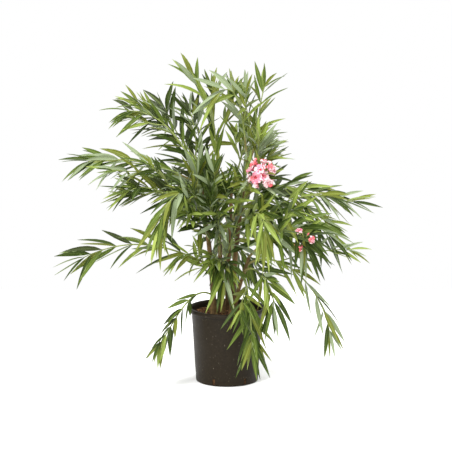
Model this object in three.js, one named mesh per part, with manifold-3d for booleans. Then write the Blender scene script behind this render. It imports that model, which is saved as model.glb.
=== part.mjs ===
// Potted oleander: an evergreen shrub of about one metre in a round black nursery pot.
// Millimetres, +Z up. The origin is the centre of the pot's flat underside, and the
// side of the plant that carries the blossom faces -Y.
import * as THREE from 'three';
import { mergeVertices } from 'three/addons/utils/BufferGeometryUtils.js';
import Module from 'manifold-3d';

const wasm = await Module();
wasm.setup();

// Pot and compost
const POT_HEIGHT = 230;
const RIM_RADIUS = 120;
const NECK_RADIUS = 110;
const BASE_RADIUS = 95.5;
const LIP_HEIGHT = 12;
const POT_WALL = 2;
const POT_FLOOR = 2.5;
const POT_SIDES = 48;
const DRAIN_SLOTS = 6;
const FIRST_SLOT_TURN = 35;
const SLOT_WIDTH = 9;
const SLOT_DEPTH = 12;
const SLOT_BOTTOM = 4;
const SLOT_TOP = 22;
const SOIL_LEVEL = 212;

// Clearances
const SEAT = 0.3;
const LEAF_CLEARANCE = 0.8;
const GROUND_CLEARANCE = 4;

// Woody stems, which rise from the compost: foot and top as [x, y] and [x, y, z]
const STEM_SIDES = 8;
const STEM_RINGS = 7;
const STEM_COLLAR_RINGS = 2;
const STEM_COLLAR_LAP = 1;
const FLARE_HEIGHT = 26;
const FLARE_FADE = 13;
const KNEE_HEIGHT = 0.35;
const NECK_DROP = 0.33;
const NECK_LEAN = 0.35;
const STEMS = [
  { name: 'stem_left', foot: [-41, -20], top: [-78, -24, 632], thick: 9.5, thin: 4.6, flare: 5 },
  { name: 'stem_middle', foot: [-16, -2], top: [-30, 12, 590], thick: 8.5, thin: 4.6, flare: 4 },
  { name: 'stem_right', foot: [17, 4], top: [60, -4, 690], thick: 9, thin: 4.6, flare: 4.5 },
  { name: 'stem_front', foot: [24, -30], top: [66, -76, 400], thick: 7, thin: 4.6, flare: 4 },
  { name: 'stem_back', foot: [2, 34], top: [14, 96, 590], thick: 8, thin: 4.6, flare: 4 },
];

// Habit of a shoot, unless its own line says otherwise: "leave" and "finish" are the
// angles above level at which it leaves its stem and ends, "bare" is the leafless share
// of its length, "spread" the angle of grown leaves to the twig, "hang" how far they
// droop, "broad" their width against a common leaf's, "gap" the twig between two grown
// whorls, "seed" what its random draws start from, and "forks" its side twigs.
const HABIT = {
  leave: 60, finish: 0, bare: 0.25, leaf: 128, broad: 1, spread: 38, hang: 0.12,
  gap: 42, seed: 0, forks: 0, blooms: 0,
};

// Shoots: "at" is the share of the stem's height where one leaves it, "azimuth" and
// "reach" place its tip round the pot's axis, and "tip" is the height of that tip.
const SHOOTS = [
  { name: 'top_left', stem: 'stem_middle', at: 1, azimuth: 168, reach: 104, tip: 930,
    leave: 90, finish: 57, leaf: 123, spread: 23, hang: 0, gap: 55, seed: 8 },
  { name: 'top_middle', stem: 'stem_right', at: 1, azimuth: 246, reach: 58, tip: 895,
    leave: 85, finish: -35, leaf: 131, spread: 41, hang: 0.11, gap: 56, seed: 13 },
  { name: 'top_right', stem: 'stem_right', at: 0.93, azimuth: 14, reach: 118, tip: 909,
    leave: 58, finish: 71, leaf: 106, spread: 46, hang: 0, gap: 49 },
  { name: 'crown_right', stem: 'stem_right', at: 0.9, azimuth: 315, reach: 136, tip: 749,
    leave: 32, finish: 67, bare: 0.15, leaf: 111, spread: 36, hang: 0, gap: 36, forks: 2 },
  { name: 'blossom', stem: 'stem_right', at: 0.8, azimuth: 309, reach: 165, tip: 668,
    leave: 35, finish: 58, leaf: 110, spread: 40, hang: 0.12, gap: 42, seed: 8, blooms: 14 },
  { name: 'upper_left', stem: 'stem_left', at: 1, azimuth: 174, reach: 304, tip: 832,
    leave: 60, finish: -2, bare: 0.2, leaf: 104, spread: 32, hang: 0.3, gap: 46, seed: 11,
    forks: 3 },
  { name: 'upper_inner', stem: 'stem_middle', at: 0.93, azimuth: 170, reach: 190, tip: 840,
    leave: 73, finish: 71, bare: 0.2, leaf: 131, spread: 46, hang: 0.09, gap: 37, seed: 20,
    forks: 1 },
  { name: 'left_upper', stem: 'stem_left', at: 0.95, azimuth: 193, reach: 427, tip: 696,
    leave: 29, finish: -5, bare: 0.2, leaf: 118, spread: 29, hang: 0.2, gap: 50, seed: 22,
    forks: 1 },
  { name: 'left_middle', stem: 'stem_left', at: 0.88, azimuth: 205, reach: 324, tip: 613,
    leave: -26, finish: -21, bare: 0.2, leaf: 109, spread: 39, hang: 0, gap: 36, seed: 13,
    forks: 2 },
  { name: 'left_hanging', stem: 'stem_left', at: 0.8, azimuth: 231, reach: 316, tip: 523,
    leave: 63, finish: -75, leaf: 114, spread: 21, hang: 0.46, gap: 36, seed: 17 },
  { name: 'left_low', stem: 'stem_left', at: 0.35, azimuth: 195, reach: 446, tip: 407,
    leave: 28, finish: -23, bare: 0.12, leaf: 128, spread: 37, hang: 0, gap: 56, seed: 23 },
  { name: 'left_skirt', stem: 'stem_left', at: 0.13, azimuth: 211, reach: 242, tip: 135,
    leave: 35, finish: -49, bare: 0, leaf: 73, broad: 1.5, spread: 41, hang: 0.24, gap: 37,
    seed: 5 },
  { name: 'foot_spray', stem: 'stem_left', at: 0.27, azimuth: 207, reach: 165, tip: 403,
    leave: 39, finish: -21, bare: 0, leaf: 88, broad: 1.1, spread: 31, hang: 0.44, gap: 36,
    seed: 17, forks: 1 },
  { name: 'centre_fall', stem: 'stem_middle', at: 0.4, azimuth: 266, reach: 110, tip: 330,
    leave: 45, finish: -82, bare: 0, leaf: 120, spread: 28, hang: 0.4, gap: 46, seed: 28,
    forks: 2 },
  { name: 'right_upper', stem: 'stem_right', at: 0.7, azimuth: 5, reach: 388, tip: 552,
    leave: 63, finish: -4, leaf: 108, spread: 24, hang: 0, gap: 49, seed: 29, forks: 1 },
  { name: 'right_middle', stem: 'stem_right', at: 0.62, azimuth: 343, reach: 326, tip: 468,
    leave: 73, finish: -35, bare: 0.2, leaf: 123, spread: 46, hang: 0.37, gap: 44, seed: 6,
    forks: 1 },
  { name: 'right_hanging', stem: 'stem_right', at: 0.55, azimuth: 291, reach: 304, tip: 503,
    leave: 27, finish: -101, leaf: 108, spread: 27, hang: 0.4, gap: 44, seed: 24, forks: 0 },
  { name: 'right_inner', stem: 'stem_front', at: 1, azimuth: 315, reach: 321, tip: 478,
    leave: 45, finish: -83, bare: 0.2, leaf: 138, spread: 38, hang: 0.37, gap: 42, seed: 21,
    forks: 2, blooms: 4 },
  { name: 'right_low', stem: 'stem_front', at: 0.86, azimuth: 335, reach: 340, tip: 185,
    leave: 36, finish: -82, bare: 0.1, leaf: 102, spread: 36, hang: 0.23, gap: 62, seed: 25 },
  { name: 'right_skirt', stem: 'stem_front', at: 0.72, azimuth: 305, reach: 241, tip: 272,
    leave: 49, finish: -97, bare: 0.2, leaf: 112, spread: 39, hang: 0.1, gap: 43, seed: 26,
    forks: 1 },
  { name: 'pot_front', stem: 'stem_front', at: 0.58, azimuth: 289, reach: 227, tip: 150,
    leave: 61, finish: -95, bare: 0.2, leaf: 111, spread: 41, hang: 0.15, gap: 54, seed: 25,
    forks: 1 },
  { name: 'front', stem: 'stem_middle', at: 0.45, azimuth: 252, reach: 125, tip: 668,
    leave: 68, finish: 80, bare: 0.15, leaf: 116, spread: 36, hang: 0.12, gap: 46, seed: 13,
    forks: 2 },
  { name: 'inner_left', stem: 'stem_left', at: 0.56, azimuth: 226, reach: 128, tip: 655,
    leave: 49, finish: 83, bare: 0, leaf: 138, spread: 38, hang: 0.27, gap: 41, seed: 23,
    forks: 2 },
  { name: 'inner_middle', stem: 'stem_middle', at: 0.34, azimuth: 298, reach: 112, tip: 655,
    leave: 60, finish: 80, bare: 0, leaf: 123, spread: 38, hang: 0.3, gap: 36, seed: 25, forks: 3 },
  { name: 'back_left', stem: 'stem_back', at: 0.78, azimuth: 125, reach: 291, tip: 591,
    leave: 58, finish: 5, leaf: 138, spread: 45, hang: 0.12, gap: 36, forks: 2 },
  { name: 'back_middle', stem: 'stem_back', at: 0.62, azimuth: 106, reach: 422, tip: 528,
    leave: 61, finish: -13, leaf: 138, spread: 46, hang: 0, gap: 43, forks: 2 },
  { name: 'back_right', stem: 'stem_back', at: 0.7, azimuth: 50, reach: 332, tip: 563,
    leave: 35, finish: -8, leaf: 138, spread: 32, hang: 0.2, gap: 75, seed: 2, forks: 2 },
  { name: 'back_low', stem: 'stem_back', at: 0.4, azimuth: 85, reach: 357, tip: 288,
    leave: 51, finish: -56, leaf: 138, spread: 46, hang: 0.38, gap: 40, seed: 8, forks: 2 },
  { name: 'back_upper', stem: 'stem_back', at: 1, azimuth: 60, reach: 137, tip: 754,
    leave: 65, finish: 68, leaf: 138, spread: 38, hang: 0.34, gap: 45, seed: 29, forks: 2 },
].map((row) => ({ ...HABIT, ...row }));

// Limbs and side twigs
const BOUGH_SIDES = 6;
const BOUGH_RADIUS = 4.2;
const TWIG_RADIUS = 3;
const TWIG_TIP_RADIUS = 1.3;
const BOUGH_STEP = 40;
const CURVE_PULL = 0.4;
const FORK_FIRST = 0.3;
const FORK_GAP = 0.2;
const FORK_LENGTH = 0.8;
const FORK_CURVE = [[0.28, 0.24], [0.6, 0.42], [0.88, 0.5]];
const FORK_RADIUS = 2.1;
const FORK_LEAF_SHARE = 0.88;
const FORK_DRAW = 7;
const FIRST_LEAF = 14;

// Leaves: lance-shaped blades in whorls of three
const WHORL = 3;
const WHORL_HEIGHT = 3.5;
const HALF_GAP = Math.PI / WHORL;
const LEAF_WIDTH_SHARE = 0.13;
const LEAF_THICKNESS_SHARE = 0.0125;
const WIDEST_AT = 0.45;
const FREE_FROM = 0.25;

// Whorls crowd towards the tip of a twig, where the leaves are shorter and stand closer
// to it. The last grown ones are the shoot's "gap" apart.
const TIP_GAP = 6;
const CROWDING = { first: 0.15, last: 2.2 };
const TIP_ANGLE = 15;
const OPENING_WHORLS = 1.6;
const YOUNG_LOSS = 0.2;
const YOUNG_WHORLS = 1;

// Random draws of a leaf: the middle or least value of each, and its whole range
const TURN_RANGE = 1.1;
const ANGLE_RANGE = 32;
const ROLL_RANGE = 1.5;
const LENGTH_LEAST = 0.85;
const LENGTH_RANGE = 0.3;
const HANG_LEAST = 0.3;
const HANG_RANGE = 1.1;
const SAG_LEAST = 0.05;
const SAG_RANGE = 0.15;
const SAG_BY_HANG = 0.1;
const OUTWARD_LEAST = 0.3;
const FACE_ALONG = 0.35;
const FACE_UP = 0.75;
const FACE_LIGHT = 0.6;

// Blossom: funnels with a five-cornered mouth on short stalks
const BLOOM_RADIUS = 21;
const BLOOM_DEPTH = 16;
const BLOOM_STALK = 27;
const BLOOM_DISH = 5;
const BLOOM_SIDES = 5;
const STALK_RADIUS = 1.4;
const STALK_LEAST = 0.6;
const STALK_RANGE = 0.65;
const STALK_DRAW = 22;
const HEAD_FACING = new THREE.Vector3(0.1, -0.9, 0);
const HEAD_SPREAD = 1.3;
const GOLDEN_ANGLE = Math.PI * (3 - Math.sqrt(5));

// Colour and roughness
const FINISHES = {
  pot: ['#3d362f', 0.6],
  soil: ['#543e22', 0.95],
  stem: ['#8a5a36', 0.8],
  bough: ['#7d7a3c', 0.7],
  foliage: ['#5f8038', 0.5],
};

const UP = new THREE.Vector3(0, 0, 1);
const LIGHT_SIDE = new THREE.Vector3(0, -1, 0);
const MERGE_DISTANCE = 1e-4;
const KEYS_PER_SHOOT = 10;
const SEED_STEP = 37;
const DRAW_WEIGHTS = [12.9898, 78.233, 37.719, 53.147];
const DRAW_SCALE = 43758.5453;

const { degToRad: radians, lerp } = THREE.MathUtils;

// A number from 0 to 1 that depends only on its keys, so each leaf keeps its own draw.
function dice(...keys) {
  const phase = keys.reduce((sum, key, i) => sum + key * DRAW_WEIGHTS[i], 0);
  const wave = Math.sin(phase) * DRAW_SCALE;
  return wave - Math.floor(wave);
}

// Solids

function solidOf(geometry) {
  geometry.deleteAttribute('normal');
  geometry.deleteAttribute('uv');
  const merged = mergeVertices(geometry, MERGE_DISTANCE);
  return new wasm.Manifold(new wasm.Mesh({
    numProp: 3,
    vertProperties: merged.attributes.position.array,
    triVerts: new Uint32Array(merged.index.array),
  }));
}

function geometryOf(solid) {
  const mesh = solid.getMesh();
  const geometry = new THREE.BufferGeometry();
  geometry.setAttribute('position', new THREE.BufferAttribute(mesh.vertProperties, 3));
  geometry.setIndex(new THREE.BufferAttribute(mesh.triVerts, 1));
  geometry.computeVertexNormals();
  return geometry;
}

// The largest body of a joined solid: loose scraps go, and a sealed hollow is filled.
function largestBody(solid) {
  return solid.decompose().reduce((best, body) => (body.volume() > best.volume() ? body : best));
}

function boxesMeet(a, b) {
  return [0, 1, 2].every((axis) => a.min[axis] < b.max[axis] && b.min[axis] < a.max[axis]);
}

// Everything that already stands, with its owner's name. "free" is what is left of a
// leaf where it is clear of its own twig.
const standing = [];

function stand(owner, solid, free = solid) {
  standing.push({ owner, solid, box: solid.boundingBox(), free });
}

function meets(solid, box, other, otherSolid) {
  return boxesMeet(box, other.box) && !solid.intersect(otherSolid).isEmpty();
}

function isClearOfOthers(owner, solid) {
  const box = solid.boundingBox();
  if (box.min[2] < GROUND_CLEARANCE) return false;
  return !standing.some((other) => other.owner !== owner && meets(solid, box, other, other.solid));
}

function isClearOfItsOwn(owner, solid) {
  const box = solid.boundingBox();
  return !standing.some((other) => other.owner === owner && meets(solid, box, other, other.free));
}

// Limbs

// A path is a curve in one plane, with that plane's normal as "across".
function pathOf(points, across) {
  const curve = new THREE.CubicBezierCurve3(...points);
  return { curve, across, length: curve.getLength() };
}

function stemPath(stem) {
  const foot = new THREE.Vector3(...stem.foot, SOIL_LEVEL + SEAT);
  const top = new THREE.Vector3(...stem.top);
  const rise = top.z - foot.z;
  const lean = top.clone().sub(foot).setZ(0);
  const knee = foot.clone().addScaledVector(UP, rise * KNEE_HEIGHT);
  const neck = top.clone().addScaledVector(lean, -NECK_LEAN).addScaledVector(UP, -rise * NECK_DROP);
  return pathOf([foot, knee, neck, top], lean.normalize().cross(UP));
}

function shootPath(shoot) {
  const stem = STEMS.find((row) => row.name === shoot.stem);
  const foot = stemPath(stem).curve.getPoint(shoot.at);
  const azimuth = radians(shoot.azimuth);
  const tip = new THREE.Vector3(
    shoot.reach * Math.cos(azimuth), shoot.reach * Math.sin(azimuth), shoot.tip,
  );
  const outward = tip.clone().sub(foot).setZ(0).normalize();
  const pull = CURVE_PULL * tip.distanceTo(foot);
  const heading = (degrees) => outward.clone()
    .multiplyScalar(Math.cos(radians(degrees))).addScaledVector(UP, Math.sin(radians(degrees)));
  const first = foot.clone().addScaledVector(heading(shoot.leave), pull);
  const last = tip.clone().addScaledVector(heading(shoot.finish), -pull);
  return pathOf([foot, first, last, tip], outward.clone().cross(UP));
}

// Place on a path at a length along it, with the directions along and across it.
function stationOf(path, length) {
  const share = THREE.MathUtils.clamp(length / path.length, 0, 1);
  const at = path.curve.getPointAt(share);
  const along = path.curve.getTangentAt(share);
  const other = path.across.clone().cross(along).normalize();
  return { at, along, across: path.across, other };
}

// A closed limb: a cylinder whose rings follow the path from one length to another.
function limbAlong(path, from, to, radiusAt, sides, rings) {
  const geometry = new THREE.CylinderGeometry(1, 1, 1, sides, rings);
  const place = geometry.attributes.position;
  for (let i = 0; i < place.count; i += 1) {
    const length = from + (to - from) * (place.getY(i) + 0.5);
    const station = stationOf(path, length);
    const radius = radiusAt(length);
    const point = station.at.clone()
      .addScaledVector(station.across, place.getX(i) * radius)
      .addScaledVector(station.other, place.getZ(i) * radius);
    place.setXYZ(i, point.x, point.y, point.z);
  }
  return solidOf(geometry);
}

function stemRadius(stem, path, extra = 0) {
  return (length) => {
    const taper = lerp(stem.thick, stem.thin, length / path.length);
    const flare = stem.flare * Math.exp(-length / FLARE_FADE);
    return taper + flare + extra;
  };
}

// A stem is a short collar of rings round its root flare and a longer shaft above it.
function stemSolid(stem, extra = 0) {
  const path = stemPath(stem);
  const radius = stemRadius(stem, path, extra);
  const reach = path.length + extra;
  const collar = limbAlong(path, -extra, FLARE_HEIGHT, radius, STEM_SIDES, STEM_COLLAR_RINGS);
  const shaft = limbAlong(path, FLARE_HEIGHT - STEM_COLLAR_LAP, reach, radius, STEM_SIDES, STEM_RINGS);
  return collar.add(shaft);
}

function shootRadius(path, shoot) {
  const bareLength = path.length * shoot.bare;
  const widest = shoot.bare > 0 ? BOUGH_RADIUS : TWIG_RADIUS;
  return (length) => {
    if (length < bareLength) return lerp(widest, TWIG_RADIUS, length / bareLength);
    const share = (length - bareLength) / (path.length - bareLength);
    return lerp(TWIG_RADIUS, TWIG_TIP_RADIUS, share);
  };
}

function ringsFor(length) {
  return Math.max(2, Math.round(length / BOUGH_STEP));
}

// A side twig leaves its shoot and swings back to run beside it, in one plane with it.
function forkPath(path, shoot, key, number) {
  const share = shoot.bare + (1 - shoot.bare) * (FORK_FIRST + FORK_GAP * number);
  const { at, along, across, other } = stationOf(path, path.length * share);
  const turn = 2 * Math.PI * dice(key, number, FORK_DRAW);
  const aside = across.clone().multiplyScalar(Math.cos(turn)).addScaledVector(other, Math.sin(turn));
  const length = path.length * (1 - share) * FORK_LENGTH;
  const points = FORK_CURVE.map(([onward, out]) => at.clone()
    .addScaledVector(along, onward * length).addScaledVector(aside, out * length));
  return pathOf([at, ...points], along.clone().cross(aside));
}

// Leaves

// One leaf of a whorl. It stands out from the twig at its angle and droops by "hang";
// its upper face looks up, along the twig and towards the light.
function leafAt(station, shoot, key, whorl, place, size) {
  const draw = (number) => dice(key, whorl + 1, place + 1, number);
  const turn = key + (WHORL - 1) * place * HALF_GAP + (whorl + (draw(1) - 0.5) * TURN_RANGE) * HALF_GAP;
  const aside = station.across.clone().multiplyScalar(Math.cos(turn))
    .addScaledVector(station.other, Math.sin(turn));
  const grown = 1 - Math.exp(-(whorl + 0.5) / OPENING_WHORLS);
  const angle = radians(lerp(TIP_ANGLE, shoot.spread, grown) + (draw(2) - 0.5) * ANGLE_RANGE);
  const along = station.along.clone().multiplyScalar(Math.cos(angle))
    .addScaledVector(aside, Math.sin(angle))
    .addScaledVector(UP, -shoot.hang * (HANG_LEAST + HANG_RANGE * draw(4)));
  along.addScaledVector(aside, Math.max(0, OUTWARD_LEAST - along.dot(aside))).normalize();
  const face = station.along.clone().multiplyScalar(FACE_ALONG)
    .addScaledVector(UP, FACE_UP).addScaledVector(LIGHT_SIDE, FACE_LIGHT);
  face.addScaledVector(along, -face.dot(along)).normalize();
  face.applyAxisAngle(along, (draw(5) - 0.5) * ROLL_RANGE);
  const young = 1 - YOUNG_LOSS * Math.exp(-whorl / YOUNG_WHORLS);
  const length = size * young * (LENGTH_LEAST + LENGTH_RANGE * draw(3));
  const sag = SAG_LEAST + SAG_RANGE * draw(6) + SAG_BY_HANG * shoot.hang;
  return { root: station.at, along, face, length, broad: shoot.broad, sag, place };
}

// The whorls of one twig, from its tip back to where it is bare.
function whorlsOf(path, shoot, key, bareLength, size) {
  const whorls = [];
  for (let number = 0; ; number += 1) {
    const crowding = (number + CROWDING.first) / (number + CROWDING.last);
    const length = path.length - TIP_GAP - shoot.gap * number * crowding;
    if (length < bareLength + 2 * TIP_GAP) return whorls;
    const station = stationOf(path, length);
    const leaves = Array.from({ length: WHORL }, (_, place) => (
      leafAt(station, shoot, key, number, place, size)
    ));
    whorls.push({ turn: key + number * HALF_GAP, length, leaves });
  }
}

// The corners of a blade where it is widest (left, right and keel), and its tip.
function bladeCorners(leaf, margin = 0) {
  const wide = leaf.face.clone().cross(leaf.along);
  const half = leaf.length * leaf.broad * LEAF_WIDTH_SHARE / 2 + margin;
  const keel = leaf.length * LEAF_THICKNESS_SHARE + margin;
  const point = (share, sideways, upward) => leaf.root.clone()
    .addScaledVector(leaf.along, share * (leaf.length + margin))
    .addScaledVector(UP, -leaf.length * leaf.sag * share ** 2)
    .addScaledVector(wide, sideways)
    .addScaledVector(leaf.face, upward);
  return {
    left: point(WIDEST_AT, -half, margin),
    right: point(WIDEST_AT, half, margin),
    keel: point(WIDEST_AT, 0, -keel),
    tip: point(1, 0, 0),
  };
}

// One corner of a three-sided collar round a twig. Corners stand between the leaves.
function collarCorner(twig, length, turn, margin = 0) {
  const station = stationOf(twig.path, length);
  const radius = twig.radius(length) + margin;
  return station.at.clone()
    .addScaledVector(station.across, Math.cos(turn) * radius)
    .addScaledVector(station.other, Math.sin(turn) * radius);
}

// The skin of a leaf, from the four corners of its root to its widest ring and its tip.
function leafTriangles([a, b, c, d], { left, right, keel, tip }) {
  return [
    [a, b, keel], [b, right, keel], [b, c, right], [c, left, right], [c, d, left], [d, a, left],
    [a, keel, left], [keel, right, tip], [right, left, tip], [left, keel, tip],
  ];
}

// Six times the volume under a skin. Skins with the same edge can be compared by it.
function volumeUnder(points, triangles) {
  return triangles.reduce((sum, [a, b, c]) => (
    sum + points[a].dot(points[b].clone().cross(points[c]))
  ), 0);
}

function rolled(list, steps) {
  return [...list.slice(steps), ...list.slice(0, steps)];
}

// How many corners on a leaf's root starts, so that its skin is twisted least: that is
// the way round which holds the most.
function rootSteps(root, { left, right, keel, tip }) {
  const points = [...root, left, right, keel, tip];
  const volumes = root.map((_, steps) => (
    volumeUnder(points, leafTriangles(rolled([0, 1, 2, 3], steps), { left: 4, right: 5, keel: 6, tip: 7 }))
  ));
  return volumes.indexOf(Math.max(...volumes));
}

function solidOfTriangles(points, triangles) {
  const geometry = new THREE.BufferGeometry().setFromPoints(points);
  geometry.setIndex(triangles.flat());
  return solidOf(geometry);
}

// A leaf by itself, to try whether its place is free. "from" is the share of the way to
// its widest ring where it starts.
function leafSolid(twig, whorl, leaf, from, margin) {
  const blade = bladeCorners(leaf, margin);
  const { left, right, keel, tip } = blade;
  const turn = whorl.turn + leaf.place * 2 * HALF_GAP;
  const below = whorl.length - WHORL_HEIGHT - margin;
  const above = whorl.length + margin;
  const side = [
    collarCorner(twig, below, turn + HALF_GAP, margin),
    collarCorner(twig, below, turn - HALF_GAP, margin),
    collarCorner(twig, above, turn - HALF_GAP, margin),
    collarCorner(twig, above, turn + HALF_GAP, margin),
  ];
  const root = rolled(side, rootSteps(side, blade));
  [keel, keel, right, left].forEach((corner, i) => root[i].lerp(corner, from));
  const skin = leafTriangles([0, 1, 2, 3], { left: 4, right: 5, keel: 6, tip: 7 });
  return solidOfTriangles([...root, left, right, keel, tip], [...skin, [0, 2, 1], [0, 3, 2]]);
}

// A leafy twig as one closed skin. Each whorl is a short three-sided collar, and a leaf
// grows out of one side of it: its root is the collar's own side, pulled out to the
// blade's widest corners and on to its tip. Collars stand turned by half a gap, so the
// twig between two of them has six faces.
function sprigSolid(twig, margin = 0) {
  const points = [];
  const triangles = [];
  const addPoint = (point) => points.push(point) - 1;
  const addRing = (length, turn) => [0, 1, 2].map((corner) => (
    addPoint(collarCorner(twig, length, turn + HALF_GAP - corner * 2 * HALF_GAP, margin))
  ));
  const addSide = (lower, upper, side) => {
    const next = (side + 1) % WHORL;
    triangles.push([lower[side], lower[next], upper[side]], [lower[next], upper[next], upper[side]]);
  };
  const addLeaf = (lower, upper, side, leaf) => {
    const next = (side + 1) % WHORL;
    const blade = bladeCorners(leaf);
    const root = [lower[side], lower[next], upper[next], upper[side]];
    const steps = rootSteps(root.map((corner) => points[corner]), blade);
    const corners = {
      left: addPoint(blade.left),
      right: addPoint(blade.right),
      keel: addPoint(blade.keel),
      tip: addPoint(blade.tip),
    };
    triangles.push(...leafTriangles(rolled(root, steps), corners));
  };
  const climbing = [...twig.whorls].reverse();
  let ring = addRing(twig.from, climbing[0].turn + HALF_GAP);
  triangles.push([ring[0], ring[2], ring[1]]);
  climbing.forEach((whorl) => {
    const lower = addRing(whorl.length - WHORL_HEIGHT, whorl.turn);
    const upper = addRing(whorl.length, whorl.turn);
    [0, 1, 2].forEach((side) => {
      const leaf = whorl.leaves.find((row) => row.place === (WHORL - side) % WHORL);
      addSide(ring, lower, side);
      if (leaf) addLeaf(lower, upper, side, leaf);
      else addSide(lower, upper, side);
    });
    ring = upper;
  });
  const end = addPoint(twig.path.curve.getPoint(1));
  [0, 1, 2].forEach((side) => triangles.push([ring[side], ring[(side + 1) % WHORL], end]));
  return solidOfTriangles(points, triangles);
}

// Blossom

// The direction and length of each stalk of a head: a spiral over the half of a ball
// that faces out.
function headStalks(forward, count, key) {
  const outward = forward.clone().add(HEAD_FACING).normalize();
  const side = outward.clone().cross(UP).normalize();
  const other = side.clone().cross(outward);
  return Array.from({ length: count }, (_, number) => {
    const tilt = Math.acos(1 - HEAD_SPREAD * (number + 0.5) / count);
    const turn = number * GOLDEN_ANGLE;
    const direction = outward.clone().multiplyScalar(Math.cos(tilt))
      .addScaledVector(side, Math.sin(tilt) * Math.cos(turn))
      .addScaledVector(other, Math.sin(tilt) * Math.sin(turn));
    const share = STALK_LEAST + STALK_RANGE * dice(key, number + 1, STALK_DRAW);
    return { direction, length: BLOOM_STALK * share };
  });
}

// A bloom is a five-sided funnel on a stalk, with a dished mouth.
function bloomSolids(path, count, key) {
  const station = stationOf(path, path.length - TIP_GAP);
  return headStalks(station.along, count, key).map(({ direction, length }) => {
    const profile = [
      [0, 0], [STALK_RADIUS, 0], [STALK_RADIUS, length],
      [BLOOM_RADIUS, length + BLOOM_DEPTH], [0, length + BLOOM_DEPTH - BLOOM_DISH],
    ];
    const geometry = new THREE.LatheGeometry(profile.map(([r, z]) => new THREE.Vector2(r, z)), BLOOM_SIDES);
    const turn = new THREE.Quaternion().setFromUnitVectors(new THREE.Vector3(0, 1, 0), direction);
    geometry.applyQuaternion(turn).translate(...station.at.toArray());
    return solidOf(geometry);
  });
}

// Pot

function potProfile() {
  const top = POT_HEIGHT;
  return [
    [0, 0], [BASE_RADIUS, 0], [NECK_RADIUS, top - POT_WALL],
    [RIM_RADIUS - POT_WALL, top - POT_WALL], [RIM_RADIUS - POT_WALL, top - LIP_HEIGHT],
    [RIM_RADIUS, top - LIP_HEIGHT], [RIM_RADIUS, top - POT_WALL], [RIM_RADIUS - POT_WALL, top],
    [NECK_RADIUS - POT_WALL, top], [BASE_RADIUS - POT_WALL, POT_FLOOR], [0, POT_FLOOR],
  ];
}

function soilProfile() {
  const slope = (NECK_RADIUS - BASE_RADIUS) / POT_HEIGHT;
  const bottom = POT_FLOOR + SEAT;
  const radiusAt = (height) => BASE_RADIUS - POT_WALL - SEAT + slope * (height - POT_FLOOR);
  return [[0, bottom], [radiusAt(bottom), bottom], [radiusAt(SOIL_LEVEL), SOIL_LEVEL], [0, SOIL_LEVEL]];
}

function turned(profile) {
  const geometry = new THREE.LatheGeometry(profile.map(([r, z]) => new THREE.Vector2(r, z)), POT_SIDES);
  return solidOf(geometry.rotateX(Math.PI / 2));
}

function slotCutter(number) {
  const geometry = new THREE.BoxGeometry(SLOT_DEPTH, SLOT_WIDTH, SLOT_TOP - SLOT_BOTTOM);
  geometry.translate(BASE_RADIUS, 0, (SLOT_TOP + SLOT_BOTTOM) / 2);
  geometry.rotateZ(radians(-90 + FIRST_SLOT_TURN + number * 360 / DRAIN_SLOTS));
  return solidOf(geometry);
}

function potSolid() {
  let pot = turned(potProfile());
  for (let number = 0; number < DRAIN_SLOTS; number += 1) pot = pot.subtract(slotCutter(number));
  return pot;
}

function bareTwig(twig) {
  return { ...twig, whorls: twig.whorls.map((whorl) => ({ ...whorl, leaves: [] })) };
}

// A leaf has room where its blade is clear of its own mass too.
function hasRoom(owner, twig, whorl, leaf) {
  const free = leafSolid(twig, whorl, leaf, FREE_FROM, 0);
  if (!isClearOfOthers(owner, leafSolid(twig, whorl, leaf, 0, LEAF_CLEARANCE))) return false;
  if (!isClearOfItsOwn(owner, free)) return false;
  stand(owner, leafSolid(twig, whorl, leaf, 0, 0), free);
  return true;
}

// The plant, limb by limb: stems, then boughs and main twigs, then side twigs and leaves.

const oleander = new THREE.Group();

function addMesh(name, solid, finish) {
  const [color, roughness] = FINISHES[finish];
  const material = new THREE.MeshStandardMaterial({ color, roughness, metalness: 0 });
  const mesh = new THREE.Mesh(geometryOf(solid), material);
  mesh.name = name;
  oleander.add(mesh);
}

const pot = potSolid();
const soil = turned(soilProfile());
stand('pot', pot);
stand('soil', soil);
addMesh('pot', pot, 'pot');
addMesh('soil', soil, 'soil');

STEMS.forEach((stem) => {
  const solid = stemSolid(stem);
  stand(stem.name, solid);
  addMesh(stem.name, solid, 'stem');
});

const masses = SHOOTS.map((shoot, index) => {
  const key = (index + 1 + SEED_STEP * shoot.seed) * KEYS_PER_SHOOT;
  const path = shootPath(shoot);
  const radius = shootRadius(path, shoot);
  const bareLength = path.length * shoot.bare;
  const socket = stemSolid(STEMS.find((row) => row.name === shoot.stem), SEAT);
  const hasBough = shoot.bare > 0;
  if (hasBough) {
    const limb = limbAlong(path, 0, bareLength, radius, BOUGH_SIDES, ringsFor(bareLength));
    const bough = largestBody(limb.subtract(socket));
    stand(`bough_${shoot.name}`, bough);
    addMesh(`bough_${shoot.name}`, bough, 'bough');
  }
  const owner = `foliage_${shoot.name}`;
  const from = hasBough ? bareLength + SEAT : 0;
  const whorls = whorlsOf(path, shoot, key, hasBough ? bareLength : FIRST_LEAF, shoot.leaf);
  const twig = { path, from, radius, whorls };
  stand(owner, sprigSolid(bareTwig(twig)));
  const blooms = bloomSolids(path, shoot.blooms, key);
  blooms.forEach((bloom) => stand(owner, bloom));
  return { shoot, key, path, owner, blooms, socket: hasBough ? null : socket, twigs: [twig] };
});

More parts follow.
